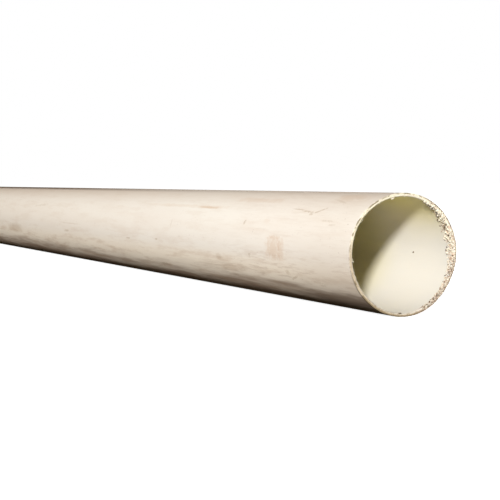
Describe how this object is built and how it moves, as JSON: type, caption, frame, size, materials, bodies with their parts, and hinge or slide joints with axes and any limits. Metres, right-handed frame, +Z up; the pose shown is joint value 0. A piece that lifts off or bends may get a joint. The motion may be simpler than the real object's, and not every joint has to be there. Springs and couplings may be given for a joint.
{
  "type": "pvc sewer pipe",
  "caption": "Straight round length of thin-walled off-white PVC drain and sewer pipe with plain ends, one of them rough sawn, that carries waste water through its bore.",
  "frame": {"origin": "on the floor, under the middle of the pipe's length, where the pipe's wall rests", "axes": "+X along the pipe and out of its sawn end, +Y across it, +Z up from the floor"},
  "size_m": [3.048, 0.1068, 0.1071],
  "materials": {
    "pvc": "satin"
  },
  "bodies": {
    "root": {"sewer_pipe": "pvc"}
  },
  "joints": []
}
